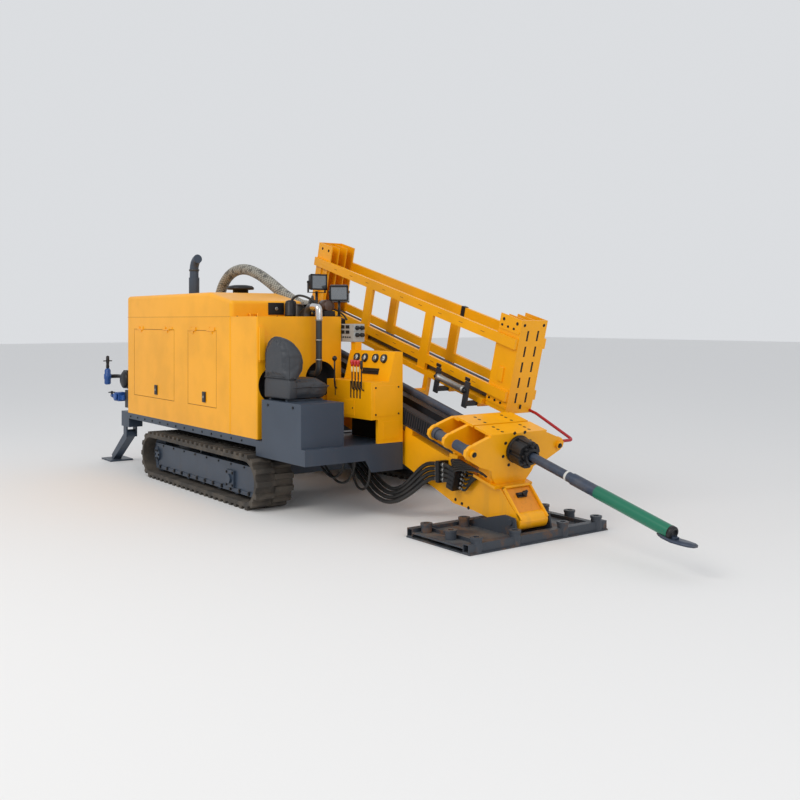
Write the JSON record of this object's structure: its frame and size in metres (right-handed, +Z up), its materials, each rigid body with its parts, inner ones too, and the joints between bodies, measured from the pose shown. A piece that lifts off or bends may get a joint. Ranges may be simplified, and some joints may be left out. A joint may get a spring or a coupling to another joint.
{
  "type": "horizontal directional drill",
  "caption": "Tracked horizontal directional drilling rig with a tilting mast, rod rack, vises, anchor plate, side operator's seat and engine hood.",
  "frame": {"origin": "on the floor, under the middle of the machine's bounding box", "axes": "+X forward to the drill head, +Y to the machine's left, +Z up"},
  "size_m": [7.3287, 2.362, 2.4099],
  "materials": {
    "yellow_paint": "gloss",
    "grey_paint": "satin",
    "mast_paint": "satin",
    "track_rubber": "matt, dusty",
    "drill_steel": "satin",
    "green_paint": "satin",
    "polished_rod": "polished",
    "black_fitting": "satin",
    "black_hose": "satin",
    "braid": "woven",
    "seat_vinyl": "matt",
    "box_grey": "satin",
    "pipe_grey": "satin",
    "blue_paint": "satin",
    "red_paint": "satin"
  },
  "bodies": {
    "carrier": {"chassis": "grey_paint", "console": "yellow_paint", "control_box": "box_grey", "engine_block": "grey_paint", "exhaust": "grey_paint", "gauges": "black_fitting", "hood": "yellow_paint", "hose_gland": "grey_paint", "hose_sleeve": "braid", "intake_cap": "yellow_paint", "levers": "black_fitting", "mast_hose_1": "black_hose", "mast_hose_2": "black_hose", "mast_hose_3": "black_hose", "mast_hose_4": "black_hose", "mud_pump": "black_fitting", "mud_valve": "blue_paint", "pilot_hose_1": "black_hose", "pilot_hose_2": "black_hose", "pilot_hose_3": "black_hose", "platform": "grey_paint", "rear_grille": "yellow_paint", "riser_pipe": "pipe_grey", "seat": "seat_vinyl", "seat_box": "grey_paint", "tank_cabinet": "yellow_paint", "tank_fittings": "black_fitting", "track_frames": "grey_paint", "track_left": "track_rubber", "track_right": "track_rubber", "track_wheels": "grey_paint", "work_lights": "black_fitting"},
    "mast": {"mast_rails": "mast_paint", "lower_beam": "yellow_paint", "foot": "yellow_paint", "front_vise": "yellow_paint", "chuck": "black_fitting", "rod_rack": "yellow_paint", "rack_beam": "yellow_paint", "spare_rods": "drill_steel", "guard_bar": "red_paint", "hose_clamp": "black_fitting", "valve_block": "black_fitting", "vise_hoses": "black_hose", "vise_rods": "drill_steel"},
    "wrench": {"rear_vise": "yellow_paint", "wrench_rods": "drill_steel"},
    "head": {"drive_head": "mast_paint"},
    "string": {"drill_rod": "drill_steel", "sonde_housing": "green_paint", "blade": "drill_steel"},
    "loader": {"rod_loader": "mast_paint"},
    "anchor": {"anchor_plate": "grey_paint"},
    "lift_cylinder": {"lift_barrel": "grey_paint"},
    "lift_piston": {"lift_rod": "polished_rod"},
    "left_leg": {"leg_left": "grey_paint"},
    "right_leg": {"leg_right": "grey_paint"},
    "rear_door": {"door_rear": "yellow_paint"},
    "front_door": {"door_front": "yellow_paint"}
  },
  "joints": [
    {"name": "mast_tilt", "type": "hinge", "parent": "carrier", "child": "mast", "pos_m": [-0.25, 0, 0.78], "axis": [0, 1, 0], "range_deg": [-15, 0]},
    {"name": "lift_swing", "type": "hinge", "parent": "carrier", "child": "lift_cylinder", "pos_m": [-1.55, 0, 0.36], "axis": [0, 1, 0], "range_deg": [-6.91, 0]},
    {"name": "lift_extend", "type": "slide", "parent": "lift_cylinder", "child": "lift_piston", "axis": [0.0555, 0, 0.9985], "range_m": [-0.342, 0]},
    {"name": "head_slide", "type": "slide", "parent": "mast", "child": "head", "axis": [0.9659, 0, -0.2588], "range_m": [-0.34, 0.45]},
    {"name": "string_spin", "type": "hinge", "parent": "head", "child": "string", "pos_m": [2.186, 0, 0.615], "axis": [0.9659, 0, -0.2588], "continuous": true},
    {"name": "wrench_turn", "type": "hinge", "parent": "mast", "child": "wrench", "pos_m": [2.186, 0, 0.615], "axis": [0.9659, 0, -0.2588], "range_deg": [-12, 12]},
    {"name": "loader_slide", "type": "slide", "parent": "mast", "child": "loader", "axis": [0, -1, 0], "range_m": [0, 0.1]},
    {"name": "anchor_swing", "type": "hinge", "parent": "mast", "child": "anchor", "pos_m": [2.19, 0, 0.14], "axis": [0, 1, 0], "range_deg": [-20, 8]},
    {"name": "leg_left_swing", "type": "hinge", "parent": "carrier", "child": "left_leg", "pos_m": [-3.06, 1.01, 0.345], "axis": [0, 1, 0], "range_deg": [0, 45]},
    {"name": "leg_right_swing", "type": "hinge", "parent": "carrier", "child": "right_leg", "pos_m": [-3.06, -1.01, 0.345], "axis": [0, 1, 0], "range_deg": [0, 45]},
    {"name": "door_rear_hinge", "type": "hinge", "parent": "carrier", "child": "rear_door", "pos_m": [-2.1675, -1.111, 1.503], "axis": [-1, 0, 0], "range_deg": [0, 80]},
    {"name": "door_front_hinge", "type": "hinge", "parent": "carrier", "child": "front_door", "pos_m": [-1.005, -1.111, 1.503], "axis": [-1, 0, 0], "range_deg": [0, 80]}
  ],
  "couplings": [
    {"joint": "lift_swing", "follows": "mast_tilt", "ratio": 0.42753},
    {"joint": "lift_extend", "follows": "mast_tilt", "m_per_rad": 1.3001}
  ]
}
